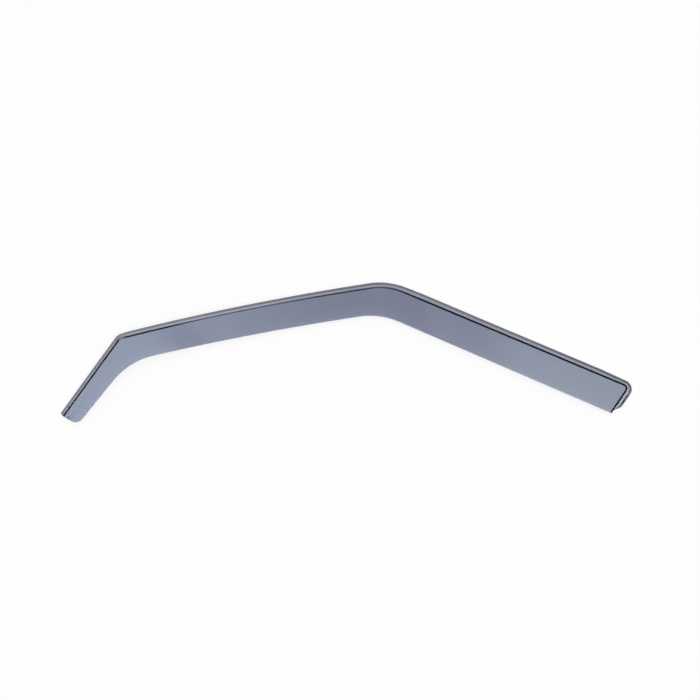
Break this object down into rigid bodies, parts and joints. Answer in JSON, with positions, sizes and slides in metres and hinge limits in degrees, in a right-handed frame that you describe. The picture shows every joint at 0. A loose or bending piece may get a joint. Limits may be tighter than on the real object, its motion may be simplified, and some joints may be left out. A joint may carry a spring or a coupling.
{
  "type": "window rain deflector",
  "caption": "Smoked acrylic rain deflector for a front side door window: a long bent strip with a recessed lip that slides into the window channel.",
  "frame": {"origin": "under the middle of the sheet's outline, on the surface that it lies on", "axes": "+X along the door, from the front tip towards the rear end; +Y towards the lip, up the door; +Z out of the car, from the lip's back to the shield's face"},
  "size_m": [0.9158, 0.2242, 0.0191],
  "materials": {
    "smoked_acrylic": "blue-grey smoked acrylic, polished on both faces, with a milled matt band along the edge of the lip"
  },
  "bodies": {
    "root": {"deflector": "smoked_acrylic"}
  },
  "joints": []
}
